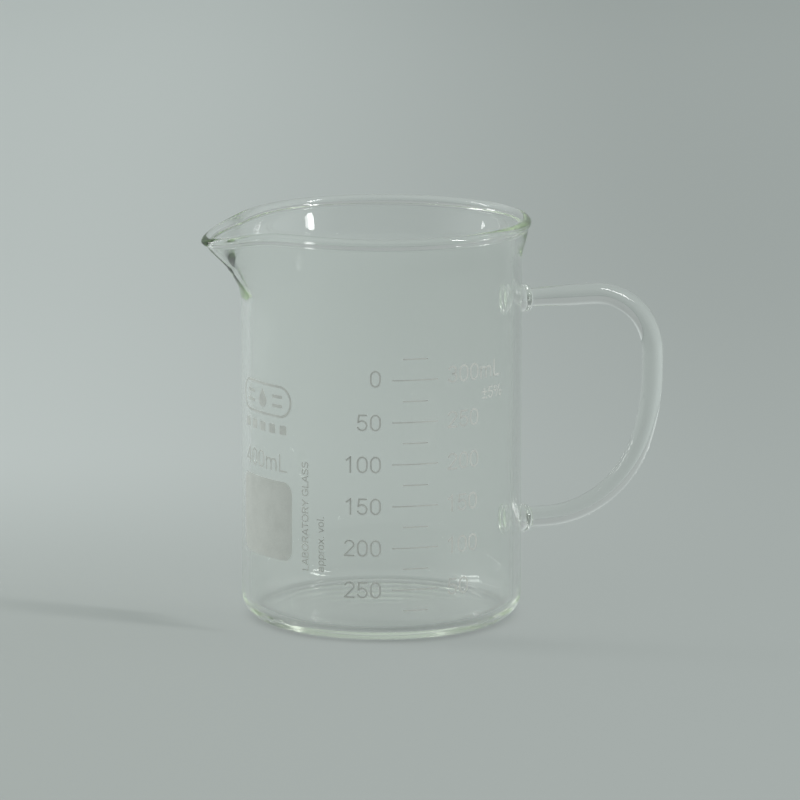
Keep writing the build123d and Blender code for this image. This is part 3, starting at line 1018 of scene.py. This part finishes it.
def setCamera():
    turn, rise = math.radians(view["turn"]), math.radians(view["elevation"])
    back = Vector((math.sin(turn) * math.cos(rise), -math.cos(turn) * math.cos(rise), math.sin(rise)))
    right = Vector((math.cos(turn), math.sin(turn), 0))
    target = right * view["aside"] * mm + Vector((0, 0, view["targetHeight"] * mm))
    data = bpy.data.cameras.new("camera")
    data.sensor_width = view["sensorWidth"]
    data.lens = view["lens"]
    data.clip_start, data.clip_end = view["clip"]
    camera = bpy.data.objects.new("camera", data)
    camera.location = target + back * view["distance"]
    camera.rotation_euler = back.to_track_quat("Z", "Y").to_euler()
    bpy.context.collection.objects.link(camera)
    bpy.context.scene.camera = camera


lamps = {
    "leftLamp": {"azimuth": -122, "rise": 32, "distance": 1.5, "size": (0.22, 0.9), "power": 4.5},
    "rightLamp": {"azimuth": 46, "rise": 32, "distance": 1.5, "size": (0.14, 0.9), "power": 7.5},
}
lampAim = Vector((0, 0, 0.05))


def hangLamp(name, azimuth, rise, distance, size, power):
    data = bpy.data.lights.new(name, "AREA")
    data.shape = "RECTANGLE"
    data.size, data.size_y = size
    data.energy = power
    lamp = bpy.data.objects.new(name, data)
    turn, lift = math.radians(azimuth), math.radians(rise)
    away = Vector((math.sin(turn) * math.cos(lift), -math.cos(turn) * math.cos(lift), math.sin(lift)))
    lamp.location = lampAim + away * distance
    lamp.rotation_euler = away.to_track_quat("Z", "Y").to_euler()
    bpy.context.collection.objects.link(lamp)


floorFinish = {
    # painted light and shade: six floor tones, brighter left and far, darker right and near, standing in for
    # falloff of light
    "nearLeft": (0.485, 0.51, 0.495, 1),
    "nearRight": (0.46, 0.485, 0.475, 1),
    "farLeft": (0.645, 0.675, 0.665, 1),
    "farRight": (0.47, 0.495, 0.485, 1),
    "endLeft": (0.73, 0.76, 0.75, 1),
    "endRight": (0.54, 0.565, 0.555, 1),
    # black of the painted contact shadow
    "shade": (0.0, 0.0, 0.0, 1.0),
    "sideSpan": (-0.14, 0.14),
    "farSpan": (-0.03, 0.24),
    "endSpan": (0.45, 1.3),
    # place, width and strength of the painted contact shadow ring under the heel
    "contactRadius": 0.0344,
    "contactWidth": 0.003,
    "paintedContactShadow": 0.24,
    "fibreScale": 900.0,
    "fibreDetail": 2.0,
    "fibreStrength": 0.15,
    "fibreDepth": 0.0001,
    "roughness": 0.75,
    "specular": 0.15,
    "radius": 8,
    "sides": 96,
    "gap": 0.00002,
}


def paleFloor():
    # Matt paper with painted light and shade: its tone is painted a little brighter behind the beaker on the
    # left and darker on the right.
    finish = floorFinish
    material, g = startMaterial("paleFloor")
    place = g.node("ShaderNodeTexCoord", output="Object")
    x, y, _ = g.outputs(g.node("ShaderNodeSeparateXYZ", None, {"Vector": place}))
    turn = math.radians(view["turn"])
    across = x * math.cos(turn) + y * math.sin(turn)
    away = y * math.cos(turn) - x * math.sin(turn)
    side = g.ease(across, finish["sideSpan"])
    far = g.ease(away, finish["farSpan"])
    beyond = g.ease(away, finish["endSpan"])

    def blend(share, first, second):
        # the Mix node's colour sockets have no names of their own: 0 is the share, 6 and 7 the colours
        return g.node("ShaderNodeMix", {"data_type": "RGBA"}, {0: share, 6: first, 7: second}, 2)

    # painted light and shade: the floor's tone follows its place on the floor, not the lamps
    near = blend(side, finish["nearLeft"], finish["nearRight"])
    back = blend(side, finish["farLeft"], finish["farRight"])
    end = blend(side, finish["endLeft"], finish["endRight"])
    paperWithPaintedLight = blend(beyond, blend(far, near, back), end)
    # painted contact shadow: a dark ring painted on the floor under the heel of the base, where the heel
    # keeps light off
    fromHeel = ((x * x + y * y).sum("SQRT") - finish["contactRadius"]) / finish["contactWidth"]
    shade = finish["paintedContactShadow"] * fromHeel.bell()
    fibres = g.noise(place, finish["fibreScale"], finish["fibreDetail"])
    bump = g.node(
        "ShaderNodeBump",
        None,
        {"Height": fibres, "Strength": finish["fibreStrength"], "Distance": finish["fibreDepth"]},
    )
    shader = g.node(
        "ShaderNodeBsdfPrincipled",
        None,
        {
            "Base Color": blend(shade, paperWithPaintedLight, finish["shade"]),
            "Roughness": finish["roughness"],
            "Specular IOR Level": finish["specular"],
            "Normal": bump,
        },
    )
    g.node("ShaderNodeOutputMaterial", None, {"Surface": shader})
    return material


room = {
    "side": (0.385, 0.417, 0.408),
    "left": 1.1,
    "right": 0.86,
    "acrossSpan": (-0.8, 0.8),
    "above": 1.6,
    "aboveSpan": (0.3, 0.85),
    "front": 0.35,
    "frontSpan": (0.0, 0.9),
    "beside": 2.0,
    "besideSpan": (0.5, 1.0),
    "bounces": 400,
}


def softRoom():
    # Even light from all round, stronger above and at the sides and weaker behind the camera.
    world = bpy.data.worlds.new("softRoom")
    world.use_nodes = True
    world.node_tree.nodes.clear()
    g = Graph(world.node_tree)
    direction = g.node("ShaderNodeTexCoord", output="Generated")
    x, y, z = g.outputs(g.node("ShaderNodeSeparateXYZ", None, {"Vector": direction}))
    turn = math.radians(view["turn"])
    across = x * math.cos(turn) + y * math.sin(turn)
    front = x * math.sin(turn) - y * math.cos(turn)
    sideways = g.ease(across, room["acrossSpan"], room["left"], room["right"])
    above = g.ease(z, room["aboveSpan"], 1.0, room["above"])
    facing = g.ease(front, room["frontSpan"], 1.0, room["front"])
    beside = g.ease(across.sum("ABSOLUTE"), room["besideSpan"], 1.0, room["beside"])
    strength = sideways * above * facing * beside
    light = g.node("ShaderNodeBackground", None, {"Color": (*room["side"], 1), "Strength": strength})
    g.node("ShaderNodeOutputWorld", None, {"Surface": light})
    return world


def setStage():
    bpy.ops.mesh.primitive_circle_add(
        vertices=floorFinish["sides"], radius=floorFinish["radius"], fill_type="NGON", location=(0, 0, 0)
    )
    floor = bpy.context.object
    floor.name = "floor"
    floor.data.transform(Matrix.Translation((0, 0, -floorFinish["gap"])))
    floor.data.materials.append(paleFloor())
    scene = bpy.context.scene
    scene.world = softRoom()
    scene.view_settings.view_transform = "Standard"
    # light crosses many glass faces at the base and the rim
    for limit in ("max_bounces", "transmission_bounces", "glossy_bounces"):
        setattr(scene.cycles, limit, room["bounces"])
    for name, settings in lamps.items():
        hangLamp(name, **settings)


setCamera()
setStage()
